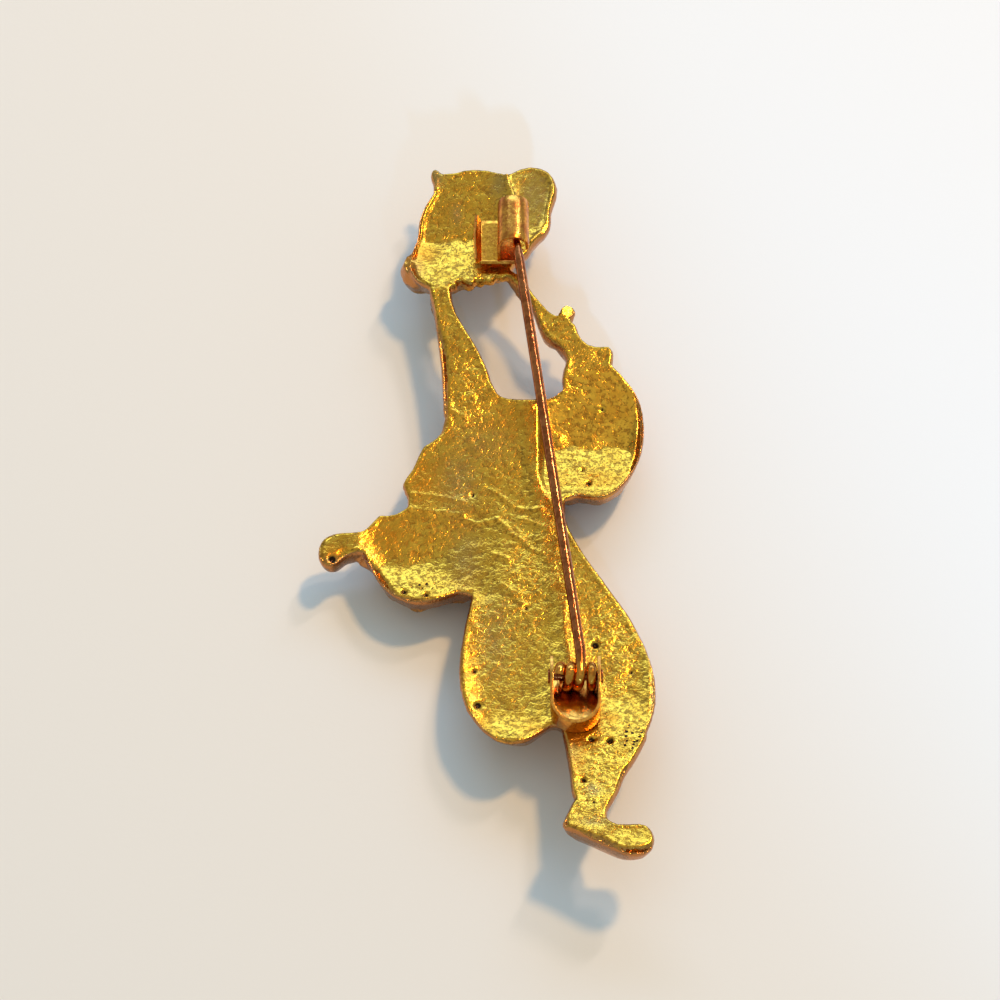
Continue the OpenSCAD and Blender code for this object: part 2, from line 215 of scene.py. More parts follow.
# Roughness of the gilt on its high places and in its recesses, and of the findings
GILT_ROUGHNESS = (0.18, 0.28)
SHEET_ROUGHNESS = 0.2
WIRE_ROUGHNESS = 0.13
PAPER_ROUGHNESS = 0.75
# How deep a height of 1 is, in metres
CAST_DEPTH = 0.00006
PLATE_DEPTH = 0.00002
FIBRE_DEPTH = 0.00004


def make_gilt_cast(skin, scratches):
    """Gold plate over the rough casting: painted shade in its recesses and pits, painted reflection
    in spots, copper showing on the walls.
    """
    material, tree, shader = new_material("gilt_cast")
    shader.inputs["Metallic"].default_value = 1.0
    surface = use_group(tree, skin, {"Lumps": 800.0, "Peel": 2300.0, "Grain": 6000.0,
                                     "Pores": attribute(tree, "pocked")})
    worn = use_group(tree, scratches, {"Turn": 0.5})
    side = attribute(tree, "side")
    pit = maths(tree, "MAXIMUM", attribute(tree, "pit"), surface["Pore"])
    gilt = mix_colour(tree, surface["Mottle"], GILT, GILT_DEEP)
    # Painted shade in the fine recesses of the skin
    recess_shaded = mix_colour(tree, maths(tree, "MULTIPLY", surface["Recess"], 0.9), gilt, GILT_RECESS_SHADE)
    # Painted warm reflection, with copper tinging the gilt, in the warm spots
    warmed = mix_colour(tree, attribute(tree, "warm"), recess_shaded, GILT_WARM)
    # Painted dim reflection, with a browner tone of the metal, in the dim-brown spots
    dim_browned = mix_colour(tree, attribute(tree, "dim_brown"), warmed, GILT_DIM_BROWN)
    walled = mix_colour(tree, side, dim_browned, COPPER_SHOW)
    # Pits and pores painted near-black as painted shade
    tree.links.new(mix_colour(tree, ramp(tree, pit, 0.2, 0.6), walled, PIT_SHADE),
                   shader.inputs["Base Color"])
    tree.links.new(ramp(tree, surface["Recess"], 0.0, 1.0, *GILT_ROUGHNESS),
                   shader.inputs["Roughness"])
    rough = ramp(tree, attribute(tree, "lumpy"), -1.0, 1.0, 0.25, 1.1)
    height = maths(tree, "ADD", maths(tree, "MULTIPLY", surface["Height"], rough),
                   maths(tree, "MULTIPLY", worn["Height"], 0.05))
    add_bump(tree, shader, height, 1.0, CAST_DEPTH)
    return material


def make_copper_gold(name, scratches, roughness, tones):
    """Thin plate of the findings, darker where it is worn: copper-coloured, or brassy where the
    brass attribute says so."""
    material, tree, shader = new_material(name)
    shader.inputs["Metallic"].default_value = 1.0
    place = object_place(tree)
    cloud = noise_value(tree, place, 900.0)
    flecks = noise_value(tree, place, 2600.0, roughness=0.6)
    streak = ramp(tree, maths(tree, "ADD", cloud, flecks), 0.82, 1.2)
    worn = use_group(tree, scratches, {"Turn": 0.1})
    copper = mix_colour(tree, streak, *tones)
    brass = mix_colour(tree, streak, *BRASS_TONES)
    tone = mix_colour(tree, attribute(tree, "brass"), copper, brass)
    tree.links.new(tone, shader.inputs["Base Color"])
    tree.links.new(ramp(tree, cloud, 0.3, 0.7, roughness * 0.8, roughness * 1.3),
                   shader.inputs["Roughness"])
    height = maths(tree, "ADD", maths(tree, "MULTIPLY", worn["Height"], 0.4),
                   noise_value(tree, place, 2500.0, detail=1.0))
    add_bump(tree, shader, height, 0.7, PLATE_DEPTH)
    return material


def make_paper():
    """Smooth pale paper."""
    material, tree, shader = new_material("pale_paper")
    shader.inputs["Base Color"].default_value = PAPER
    shader.inputs["Roughness"].default_value = PAPER_ROUGHNESS
    fibres = noise_value(tree, object_place(tree), 2200.0, detail=3.0)
    add_bump(tree, shader, fibres, 0.15, FIBRE_DEPTH)
    return material


# Meshes

def link(name, mesh):
    piece = bpy.data.objects.new(name, mesh)
    bpy.context.collection.objects.link(piece)
    return piece


def applied(piece):
    """The piece with its modifiers worked into its mesh."""
    ready = piece.evaluated_get(bpy.context.evaluated_depsgraph_get())
    made = bpy.data.meshes.new_from_object(ready)
    made.name = piece.name
    piece.modifiers.clear()
    piece.data = made
    return piece


def merged_copy(node, scale=1.0):
    """The node's solid as a merged mesh of its own."""
    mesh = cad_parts[node].data.copy()
    work = bmesh.new()
    work.from_mesh(mesh)
    bmesh.ops.remove_doubles(work, verts=work.verts, dist=1e-7)
    bmesh.ops.scale(work, vec=(scale,) * 3, verts=work.verts)
    work.to_mesh(mesh)
    work.free()
    mesh.materials.clear()
    return mesh


def voxel_mesh(mesh, balls, size):
    """The mesh, with balls of (place, radius) added, remade of even quads of about this size."""
    work = bmesh.new()
    work.from_mesh(mesh)
    for place, radius in balls:
        bmesh.ops.create_icosphere(work, subdivisions=3, radius=radius,
                                   matrix=Matrix.Translation(place))
    work.to_mesh(mesh)
    work.free()
    piece = link("voxel_work", mesh)
    remesh = piece.modifiers.new("even_quads", "REMESH")
    remesh.mode = "VOXEL"
    remesh.voxel_size = size
    made = applied(piece).data
    bpy.data.objects.remove(piece)
    return made


def read_vectors(mesh, name):
    """The mesh's points (co) or their normals (normal), as rows of three numbers."""
    values = np.empty(len(mesh.vertices) * 3, np.float32)
    mesh.vertices.foreach_get(name, values)
    return values.reshape(-1, 3).astype(float)


def write_points(mesh, points):
    mesh.vertices.foreach_set("co", points.astype(np.float32).ravel())
    mesh.update()


def paint(mesh, name, values):
    """Writes a number at each point of the mesh, for its material to read."""
    layer = mesh.attributes.new(name, "FLOAT", "POINT")
    layer.data.foreach_set("value", values.astype(np.float32))


def relax(mesh, points, rounds, share):
    """Draws each point towards the middle of its neighbours."""
    pairs = np.empty(len(mesh.edges) * 2, np.int32)
    mesh.edges.foreach_get("vertices", pairs)
    a, b = pairs.reshape(-1, 2).T
    count = np.bincount(pairs, minlength=len(points))[:, None]
    for _ in range(rounds):
        total = np.zeros_like(points)
        np.add.at(total, a, points[b])
        np.add.at(total, b, points[a])
        points = points + (total / count - points) * share
    return points


def ease(value, low, high):
    t = np.clip((value - low) / (high - low), 0, 1)
    return t * t * (3 - 2 * t)


def rough_field(points, size, octaves, shift):
    """Even noise from -1 to 1 with lumps of about this size, in millimetres."""
    offset = Vector((shift, 2 * shift, -shift))
    return np.array([
        noise.fractal(Vector(p) / size + offset, 0.7, 2.1, octaves) for p in points
    ])


def line_distance(flat, row):
    """Distance of each flat point from a row of points."""
    best = np.full(len(flat), 1e9)
    for start, end in zip(row[:-1], row[1:]):
        start, run = np.array(start), np.array(end) - np.array(start)
        t = np.clip(((flat - start) @ run) / (run @ run), 0, 1)
        best = np.minimum(best, np.linalg.norm(flat - start - t[:, None] * run, axis=1))
    return best


# Sculpting the cast, in millimetres about the waist

# Size of the quads
VOXEL = 0.19
# Height of the back at the waist, how it bows below it, and how far it rises up to the head
WAIST_Z = 4.7
BOW_R = 200
HEAD_RISE = 1.6
LEVEL_Y = 26

# How far under its height a point still belongs to the back, fading out
NEAR_BACK = (0.45, 0.9)
# How far up a point of the back faces and how far down one of the front does, both fading in
FACING_UP = (0.5, 0.72)
FACING_DOWN = (0.3, 0.75)
# A point with this share counts as back
BACK_SHARE = 0.4
# A point this far inside the walls belongs to the back whichever way it faces
INSIDE = 0.7
# The walls: how far up they face at most, and how far under the back they are looked for
WALL_TURN = 0.6
WALL_DEPTH = (0.9, 2.2)
# How far under the back the rim of the walls reaches
RIM_DEPTH = 1.2
# Distances from a wall are worked out up to here
WALL_REACH = 2.0
# Height of the skin's lumps, how much more the lumpy places have, and height of its wide swell
LUMP_HEIGHT = 0.02
LUMPY_HEIGHT = 0.03
SWELL_HEIGHT = 0.03
# The burr along the rim: its height, how far in it lies, and its width
BURR_HEIGHT = 0.08
BURR_PLACE = 0.22
BURR_WIDTH = 0.13

# Hollows of the back, each row: left, right, low, high, height of the keel, and the slopes up
# from the keel to the low rim, the high rim, the left and the right
HOLLOWS = [
    (-7.9, 2.0, 23.4, 37.6, 29.3, 0.152, 0.108, 2.00, 3.00),
    (2.5, 6.0, 28.6, 37.2, 30.6, 0.120, 0.030, 0.20, 0.30),
    (4.6, 14.4, 0.1, 14.2, 7.2, 0.190, 0.180, 1.60, 0.80),
    (-11.6, 1.4, -10.9, -0.2, -5.9, 0.110, 0.088, 0.20, 0.08),
    (-2.8, 7.0, -25.6, -8.0, -22.4, 0.140, 0.031, 0.16, 0.12),
    (6.6, 14.8, -24.4, -7.0, -21.8, 0.120, 0.036, 0.12, 0.25),
]
# How square the hollows are, how soft their keels, and how far a keel wanders and how near it
HOLLOW_FULLNESS = 4.5
HOLLOW_SOFT = 0.03
KEEL_WAVE = 0.9
KEEL_REACH = 1.2
# Raised creases, each row: its points, width, height
CREASES = [
    ([(-6.95, 1.3), (-4.45, 0.95), (-3, 0.6), (-2, 0.3)], 0.15, 0.06),
    ([(-6.95, -0.3), (-5.5, -0.6), (-3.95, -0.7), (-2.4, -0.9), (-2.05, -1.5), (-0.8, -1.85),
      (0.95, -1.4)], 0.16, 0.08),
    ([(2.65, -0.35), (3.8, -0.45), (4.85, -0.3)], 0.16, 0.07),
    ([(0.2, 1.75), (1.2, 1.0), (2.2, 0)], 0.15, 0.05),
    ([(2.9, -1.4), (4.1, -1.8), (5.4, -2.5)], 0.15, 0.06),
    ([(0.9, -1.5), (1.6, -2.2), (2.1, -3.05), (3.1, -3.75), (3.9, -4.7), (4.8, -5.05)], 0.16, 0.08),
    ([(0.5, -5.1), (1.3, -5.4), (2, -5.9)], 0.16, 0.07),
    ([(-3.5, 11), (-3.3, 10.1), (-2.7, 9.6), (-2, 9.3)], 0.16, 0.07),
    ([(9.2, 11.0), (10.3, 10.7)], 0.14, 0.06),
    ([(3.0, 10.6), (4.2, 10.5)], 0.15, 0.07),
    ([(1.0, -8.2), (1.9, -8.9), (2.6, -10.1), (3.4, -10.6)], 0.15, 0.06),
    ([(1.65, 37.0), (1.85, 35.6), (2.35, 34.0), (2.6, 33.2)], 0.2, 0.22),
    ([(4.9, 37.1), (5.7, 36.6), (6.05, 35.6), (6.05, 34.4), (5.7, 33.0), (5.45, 31.2), (4.9, 29.9),
      (4.0, 28.6)], 0.18, 0.13),
]
PIT_DEPTH = 0.35
# Pits, each row: place and radius
PITS = [
    (9.45, -14.7, 0.30), (-0.8, -21.0, 0.28), (8.95, -24.8, 0.24), (10.5, -25.0, 0.24),
    (8.2, -29.05, 0.20), (-7.4, -9.05, 0.22), (-5.45, -9.4, 0.20), (9.15, 2.7, 0.20),
    (8.55, 4.3, 0.14), (10.5, 10.6, 0.14), (-1.35, 1.15, 0.16), (3.4, -10.85, 0.15),
    (-1.1, -17.5, 0.15), (12.5, -17.5, 0.15), (-13.85, -5.65, 0.32),
]
# The next lists hold soft oval spots, each row: middle, half width, half length, strength
# Places painted warmer and oranger: painted warm reflection of the room, and copper tinging the
# gilt
WARM = [
    (-5.6, 2.6, 2.0, 2.4, 0.6), (-9.0, -3.2, 2.2, 1.8, 0.6), (-1.7, -15.0, 0.9, 6.0, 0.6),
    (7.6, -24.8, 1.3, 1.9, 1.0), (-4.0, 11.0, 0.6, 4.0, 0.6), (-6.2, 27.6, 1.2, 1.4, 0.8),
    (2.6, 9.0, 2.4, 2.2, 0.35), (9.6, 3.0, 2.0, 1.0, 0.4), (-13.8, -5.0, 1.0, 0.9, 0.8),
    (-0.6, -22.8, 0.9, 0.9, 0.7), (10.6, -22.4, 0.6, 0.5, 0.8), (-7.2, 25.6, 1.0, 1.6, 0.7),
    (4.4, -23.4, 1.6, 1.0, 0.4), (7.4, -27.0, 0.9, 1.6, 0.8), (9.4, -22.3, 0.9, 0.8, 0.9),
    (-7.6, 27.2, 0.8, 1.0, 0.8),
]
# Darker, browner places: painted dim reflection where the back mirrors darker parts of the room,
# and a browner tone of the metal
DIM_BROWN = [
    (-5.1, 36.4, 0.7, 1.0, 0.9), (1.0, 35.6, 0.8, 1.6, 0.6), (-2.6, 2.6, 1.6, 3.2, 0.5),
    (-2.0, -5.5, 1.2, 3.0, 0.4), (-3.0, 32.3, 0.5, 1.1, 0.6), (0.6, -14.0, 1.4, 4.0, 0.35),
    (7.0, -25.0, 1.0, 2.6, 0.45), (-0.5, 6.5, 2.6, 2.0, 0.3), (9.0, -30.0, 0.6, 0.6, 0.7),
    (9.2, -33.3, 1.3, 0.4, 0.6), (4.4, 34.0, 1.5, 3.4, 0.5),
]
# Places where the skin is lumpier
LUMPY = [
    (-2.2, 11.5, 1.8, 3.2, 1.0), (7.6, 13.0, 1.3, 2.0, 1.0), (-1.0, 24.6, 2.6, 1.0, 1.2),
    (11.6, -14.5, 2.2, 5.0, 0.8), (-1.6, -15.5, 1.2, 6.0, 0.8), (3.6, -8.5, 2.2, 4.0, 0.8),
    (9.5, -29.0, 2.2, 6.0, 0.8), (8.5, 4.0, 4.0, 2.5, 0.6), (-4.8, 26.0, 1.8, 2.2, 0.7),
]
# Places where the skin is smooth
SMOOTH = [(4.4, 34.0, 1.9, 3.8, 1.0), (-14.2, -4.2, 1.4, 1.2, 0.6), (-6.6, 26.4, 1.2, 1.6, 0.5)]
# Places with many tiny pores
POCKED = [(12.0, -24.6, 1.7, 1.6, 1.0), (-5.4, -8.4, 1.8, 0.7, 0.7), (8.8, -31.6, 0.9, 0.8, 0.6)]
# Places where copper shows, as on a wall
COPPERY = [(-7.4, 25.4, 1.1, 1.6, 0.6), (-13.6, -6.0, 1.2, 0.6, 0.8)]
# Places where the wall is gold
GOLDEN = [(-0.8, 24.6, 3.4, 1.1, 0.9), (1.5, -25.2, 1.6, 0.8, 0.6), (10.6, 0.8, 3.0, 0.8, 0.5)]
# Places where the edge is rounded over, the strength being how far in
ROUNDED = [
    (-13.6, -4.6, 2.0, 1.8, 0.8), (6.9, 21.2, 1.0, 0.8, 0.5), (-7.4, 26.0, 1.2, 2.6, 1.0),
]
# Places where a steep wall leans in from the edge, in the same way
LEANING = [
    (-9.6, -7.8, 2.2, 2.6, 0.55), (-6.6, -10.2, 2.2, 0.9, 0.40), (8.6, -35.4, 3.4, 1.3, 0.60),
    (12.4, -36.4, 2.4, 1.0, 0.75), (6.3, -33.2, 0.9, 1.3, 0.5), (0.6, -25.4, 3.0, 0.9, 0.35),
    (14.0, 7.0, 1.3, 4.4, 0.75), (-2.9, -16.0, 0.9, 7.0, 0.42), (-4.1, 14.5, 1.0, 8.0, 0.62),
    (14.4, -20.0, 0.9, 5.0, 0.24), (11.6, -29.0, 1.4, 3.0, 0.38),
]
# How steeply the back falls away in the rounded and in the leaning places
ROUND_FALL = 0.85
LEAN_FALL = 1.6
# Strength from which a place leans
LEAN_START = 0.12
# The lean from which it looks like a wall, and how coppery it is then
LEAN_WALL = 0.12
LEAN_COPPER = 0.7
# Round beads along the nape and on the cuff, each row: place, radius, how far under the back
CUFF_BEAD = (7.38, 20.6, 0.76, 0.42)
BEADS = [
    (-3.2, 23.8, 0.42, 0.85), (-1.75, 24.3, 0.66, 0.60), (-0.75, 24.35, 0.40, 1.05),
    (0.15, 24.6, 0.60, 0.72), (1.25, 24.85, 0.45, 0.60), CUFF_BEAD,
]
# How far the top of the cuff bead stands over its middle, and how it slopes across and along
CUFF_TOP = 0.46
CUFF_SLOPE = np.array([-0.27, 0.07])
# Its flat holds the points this near its middle, no farther below it than this, and with more
# than this share of back
CUFF_REACH = 0.9
CUFF_BELOW = 0.55
CUFF_SHARE = 0.3


def hollow_depth(x, y, row):
    """Depth of one lens-shaped hollow with a crisp keel."""
    left, right, low, high, keel, fall, rise, from_left, from_right = row
    across = np.clip((2 * x - left - right) / (right - left), -1, 1)
    bulge = (1 - np.abs(across) ** HOLLOW_FULLNESS) ** (1 / HOLLOW_FULLNESS)
    sides = np.array([
        (y - keel + (keel - low) * bulge) * fall, (keel + (high - keel) * bulge - y) * rise,
        (x - left) * from_left, (right - x) * from_right,
    ])
    least = np.exp(-np.clip(sides, -1, 5) / HOLLOW_SOFT).sum(0)
    return np.maximum(-HOLLOW_SOFT * np.log(least), 0)


def bowed_height(y):
    """Height of the back without its hollows: level under the head, dipping to the waist, bowed
    up again towards the shoe."""
    below = WAIST_Z + y * y / (2 * BOW_R)
    above = WAIST_Z + HEAD_RISE * (1 - np.cos(np.pi * np.clip(y, 0, LEVEL_Y) / LEVEL_Y)) / 2
    return np.where(y < 0, below, above)


def back_height(flat):
    """Height of the back, with the keels of its hollows a little wavy."""
    x, y = flat.T
    wave = rough_field(np.column_stack([x, y / 4, 0 * x]), size=1.8, octaves=2, shift=5.0)
    depth = 0
    for row in HOLLOWS:
        near_keel = np.exp(-((y - row[4]) / KEEL_REACH) ** 2)
        depth = depth + hollow_depth(x, y + KEEL_WAVE * wave * near_keel, row)
    return bowed_height(y) - depth


def spots(flat, rows):
    """Strength of soft oval spots at each flat point."""
    total = np.zeros(len(flat))
    for x, y, wide, long, strength in rows:
        away = ((flat[:, 0] - x) / wide) ** 2 + ((flat[:, 1] - y) / long) ** 2
        total = np.maximum(total, strength * np.exp(-away))
    return total


def flat_distance(points, wanted, wall):
    """Distance, seen from above, of each wanted point from the nearest point of the wall."""
    tree = kdtree.KDTree(int(wall.sum()))
    for i, p in enumerate(points[wall]):
        tree.insert((p[0], p[1], 0), i)
    tree.balance()
    away = np.full(len(points), WALL_REACH)
    for i in np.flatnonzero(wanted):
        away[i] = min(WALL_REACH, tree.find((points[i, 0], points[i, 1], 0))[2])
    return away


def find_back(points, normals):
    """The share of back at each point, which points lie well inside the walls, and which belong
    to the wall just under the rim."""
    under = back_height(points[:, :2] + WAIST) - points[:, 2]
    near = 1 - ease(under, *NEAR_BACK)
    top, bottom = WALL_DEPTH
    wall = (np.abs(normals[:, 2]) < WALL_TURN) & (under > top) & (under < bottom)
    inner = (near > BACK_SHARE) & (flat_distance(points, near > BACK_SHARE, wall) > INSIDE)
    back = near * np.maximum(ease(normals[:, 2], *FACING_UP), inner)
    return back, inner, (back < BACK_SHARE) & (under < RIM_DEPTH)


def cast_marks(points, edge):
    """Height of the lumps, the burr along the rim and the creases at each point."""
    flat = points[:, :2] + WAIST
    lumps = LUMP_HEIGHT + LUMPY_HEIGHT * spots(flat, LUMPY)
    marks = lumps * rough_field(points, size=0.9, octaves=2, shift=3.0)
    marks += SWELL_HEIGHT * rough_field(points, size=3.2, octaves=1, shift=7.0)
    burr = 0.5 + 0.5 * rough_field(points, size=1.7, octaves=1, shift=11.0)
    marks += BURR_HEIGHT * burr * np.exp(-((edge - BURR_PLACE) / BURR_WIDTH) ** 2)
    for row, width, height in CREASES:
        marks += height * np.exp(-(line_distance(flat, row) / width) ** 2)
    return marks


def sculpt_back(mesh, points, normals):
    """Lays the back smooth to a crisp rim, then works in the marks of the casting. Gives the
    points and the share of back, pit and leaning wall at each."""
    back, inner, wall = find_back(points, normals)
    loose = relax(mesh, points, rounds=6, share=0.5)
    points[inner, :2] = loose[inner, :2]
    flat = points[:, :2] + WAIST
    edge = flat_distance(points, back >= BACK_SHARE, wall)
    points[:, 2] += back * (back_height(flat) - points[:, 2])
    rise = cast_marks(points, edge)
    over = spots(flat, ROUNDED)
    rise -= ROUND_FALL * np.maximum(over - edge, 0) ** 2 / np.maximum(over, 0.1)
    lean = np.maximum(spots(flat, LEANING) - LEAN_START - edge, 0)
    rise -= LEAN_FALL * lean
    pit = np.zeros(len(points))
    for x, y, radius in PITS:
        away = np.linalg.norm(flat - np.array([x, y]), axis=1)
        pit = np.maximum(pit, np.exp(-(away / radius) ** 4))
    points[:, 2] += back * (rise - PIT_DEPTH * pit)
    return points, back, back * pit, ease(lean, 0.0, LEAN_WALL)


# Soft folds of the front, each row: the middle they fan out from, nearest, farthest, how many to
# the turn, height and how much they swirl
FOLDS = [
    ((3.0, 1.5), 6.0, 27.0, 34, 0.16, 0.10), ((8.0, 17.5), 3.0, 16.0, 26, 0.15, 0.15),
    ((-13.4, -4.0), 3.0, 13.5, 26, 0.15, -0.15), ((-2.6, 30.1), 3.7, 6.4, 30, 0.10, 1.3),
    ((-3.6, 25.0), 3.0, 14.0, 18, 0.10, 0.0),
]
# Lengths over which the folds rise and fade out again
FOLD_START = 1.2
FOLD_END = 2.0


def fold_front(points, normals, front):
    """Pleats and locks of the front, kept clear of the surface under the brooch."""
    flat = points[:, :2] + WAIST
    for middle, near, far, count, height, swirl in FOLDS:
        away = flat - middle
        r = np.linalg.norm(away, axis=1)
        wave = np.cos(count * np.arctan2(away[:, 1], away[:, 0]) + swirl * r)
        share = ease(r, near, near + FOLD_START) * ease(far - r, 0, FOLD_END) * front
        points += normals * (height * wave * share)[:, None]
    return points


def shape_cuff_bead(points, back):
    """Turns the flat of the bead on the cuff a little towards the window."""
    x, y, _, under = CUFF_BEAD
    offset = points[:, :2] + WAIST - np.array([x, y])
    face = bowed_height(y) - under + CUFF_TOP + offset @ CUFF_SLOPE
    near = (np.linalg.norm(offset, axis=1) < CUFF_REACH) & (offset[:, 1] > -CUFF_BELOW)
    bead = near & (back > CUFF_SHARE)
    points[bead, 2] = face[bead]
    return points


def sculpt_cast(material):
    """The cast figure: its solid as fine even quads, then the front and the back."""
    balls = [((x - WAIST[0], y - WAIST[1], bowed_height(y) - under), radius)
             for x, y, radius, under in BEADS]
    mesh = voxel_mesh(merged_copy("figure", 1 / MM), balls, VOXEL)
    points = read_vectors(mesh, "co")
    floor = points[:, 2].min()
    points = relax(mesh, points, rounds=3, share=0.5)
    write_points(mesh, points)
    normals = read_vectors(mesh, "normal")
    front = ease(-normals[:, 2], *FACING_DOWN)
    points = fold_front(points, normals, front)
    points, back, pit, lean = sculpt_back(mesh, points, normals)
    points = shape_cuff_bead(points, back)
    points[:, 2] = np.maximum(points[:, 2], floor)
    flat = points[:, :2] + WAIST
    wall = (1 - back) * (1 - front) * (1 - spots(flat, GOLDEN))
    side = np.maximum(np.maximum(wall, LEAN_COPPER * lean * back),
                      spots(flat, COPPERY) * (1 - front))
    # The warm and dim-brown masks carry painted reflection in part, and the pit mask painted shade
    layers = {"side": side, "pit": pit, "warm": back * spots(flat, WARM),
              "dim_brown": back * spots(flat, DIM_BROWN), "pocked": back * spots(flat, POCKED),
              "lumpy": np.maximum(spots(flat, LUMPY), 1 - back) - spots(flat, SMOOTH)}
    write_points(mesh, points * MM)
    for name, values in layers.items():
        paint(mesh, name, values)
    mesh.shade_smooth()
    mesh.materials.clear()
    mesh.materials.append(material)
    return link("cast_figure", mesh)


# Findings, in millimetres about the waist

SHEET = 0.28
SEAT_GAP = 0.02
WIRE_R = 0.47
EDGE_ROUND = 0.05
RIVET_ROUND = 0.06
# Edges sharper than this, in degrees, stay sharp
SHARP = 40


def to_world(points):
    """Points about the waist, in millimetres, as points of the frame in metres."""
    return [((x - WAIST[0]) * MM, (y - WAIST[1]) * MM, z * MM) for x, y, z in points]


def add_bevel(piece, width, segments, sharp):
    """Rounds the edges that are sharper than this, in degrees."""
    bevel = piece.modifiers.new("rounded_edges", "BEVEL")
    bevel.width = width * MM
    bevel.segments = segments
    bevel.limit_method = "ANGLE"
    bevel.angle_limit = math.radians(sharp)


def bevelled_copy(node, name, width, material):
    """The node's solid with its sharp edges rounded a little."""
    mesh = merged_copy(node)
    work = bmesh.new()
    work.from_mesh(mesh)
    bmesh.ops.dissolve_limit(work, angle_limit=math.radians(1), verts=work.verts, edges=work.edges)
    work.to_mesh(mesh)
    work.free()
    mesh.materials.append(material)
    piece = link(name, mesh)
    add_bevel(piece, width, segments=3, sharp=35)
    return smooth_by_angle(applied(piece))


def smooth_by_angle(piece):
    """Smooth shading, with the sharp edges left sharp."""
    mesh = piece.data
    work = bmesh.new()
    work.from_mesh(mesh)
    for face in work.faces:
        face.smooth = True
    for edge in work.edges:
        if len(edge.link_faces) == 2:
            edge.smooth = edge.calc_face_angle() < math.radians(SHARP)
    work.to_mesh(mesh)
    work.free()
    return piece


# Catch: a pan of sheet with a turned-up flange, and a riser rolled over into a tube
PAN_LEFT = -1.3
CATCH_Y = 25.95
TUBE_LEN = 5.05
PAN_OUT = 0.35
TUBE_X = 2.34
TUBE_R = 1.34
TUBE_Z = 2.62
# How far the tube is rolled, and by how much each strip of it turns, in degrees
TUBE_TURN = 200
TUBE_STEP = 8
# Height of each strip of the riser, and how far the riser stands over the pan
RISER_STEP = 0.42
RISER_GAP = 0.02
# The flange at the left: height, width of its bend, how much farther in its foot lies than its
# top, and how far it bows out
FLANGE_H = 1.0
FLANGE_BEND = 0.3
FLANGE_LEAN = 0.16
FLANGE_BOW = 0.14
# The lip below: height and width of its bend
LIP_H = 0.34
LIP_BEND = 0.35
# Distances from the pan's left and lower edges where its sheet has points, closer at the bends
PAN_BEND = [0, 0.03, 0.08, 0.14, 0.22, 0.32, 0.45]
PAN_ACROSS = PAN_BEND + [0.7, 1.2, 1.8, 2.6, 3.4, 4.1]
PAN_ALONG = PAN_BEND + [0.8, 1.6, 2.4, 3.2, 4.0, 4.7]
# Share of its width that the pan keeps once its edge is turned up
PAN_KEPT = 0.98
# The brassy part of the pan: how far left of the tube it ends, and how far up
BRASS_LEFT = 0.05
BRASS_UP = 0.5


def turned_edge(t, height, bend):
    """Height of a sheet that turns up at its edge, at each distance from the edge's outer face."""
    return height * (1 - ease(t, 0.0, bend)) ** 1.5


def sheet_piece(name, rows, material):
    """A sheet through rows of points, given thickness and slightly rounded edges."""
    count = len(rows[0])
    points = [p for row in rows for p in row]
    faces = [(i * count + j, i * count + j + 1, (i + 1) * count + j + 1, (i + 1) * count + j)
             for i in range(len(rows) - 1) for j in range(count - 1)]
    mesh = bpy.data.meshes.new(name)
    mesh.from_pydata(to_world(points), [], faces)
    mesh.materials.append(material)
    piece = link(name, mesh)
    wall = piece.modifiers.new("sheet", "SOLIDIFY")
    wall.thickness = SHEET * MM
    wall.offset = 0
    wall.use_even_offset = True
    add_bevel(piece, EDGE_ROUND, segments=2, sharp=50)
    applied(piece)
    work = bmesh.new()
    work.from_mesh(piece.data)
    bmesh.ops.recalc_face_normals(work, faces=work.faces)
    work.to_mesh(piece.data)
    work.free()
    return smooth_by_angle(piece)


def make_pan(base, material):
    """The catch's base plate, turned up into a bowed flange at the left and a low lip below."""
    low, high = CATCH_Y - PAN_OUT + SHEET / 2, CATCH_Y + TUBE_LEN - SHEET / 2
    rows = []
    for t in PAN_ALONG + [high - low]:
        bow = FLANGE_BOW * math.sin(math.pi * t / (high - low)) ** 2
        lip = turned_edge(t, LIP_H, LIP_BEND)
        row = []
        for r in PAN_ACROSS:
            up = turned_edge(r, FLANGE_H, FLANGE_BEND)
            lean = FLANGE_LEAN * (1 - up / FLANGE_H)
            row.append((PAN_LEFT + SHEET / 2 + r * PAN_KEPT + lean - bow * up / FLANGE_H, low + t,
                        base + max(up, lip)))
        rows.append(row)
    return sheet_piece("catch_pan", rows, material)


def make_tube(base, material):
    """The riser, rolled over into the tube that holds the point of the pin."""
    foot = base + SHEET / 2 + RISER_GAP
    section = [(TUBE_X - TUBE_R, foot + RISER_STEP * i) for i in range(6)]
    for i in range(TUBE_TURN // TUBE_STEP + 1):
        turn = math.radians(180 - TUBE_STEP * i)
        section.append((TUBE_X + TUBE_R * math.cos(turn),
                        base - SHEET / 2 + TUBE_Z + TUBE_R * math.sin(turn)))
    stops = [CATCH_Y + TUBE_LEN * i / 6 for i in range(7)]
    return sheet_piece("catch_tube", [[(x, y, z) for x, z in section] for y in stops], material)


def make_catch(material):
    """The tube catch on the level back behind the head."""
    base = bowed_height(CATCH_Y + TUBE_LEN) + SEAT_GAP + SHEET / 2
    catch = join("tube_catch", [make_pan(base, material), make_tube(base, material)])
    points = read_vectors(catch.data, "co") / MM
    left_of_tube = points[:, 0] + WAIST[0] < TUBE_X - TUBE_R - BRASS_LEFT
    low = points[:, 2] < base + BRASS_UP
    paint(catch.data, "brass", left_of_tube & low)
    return catch


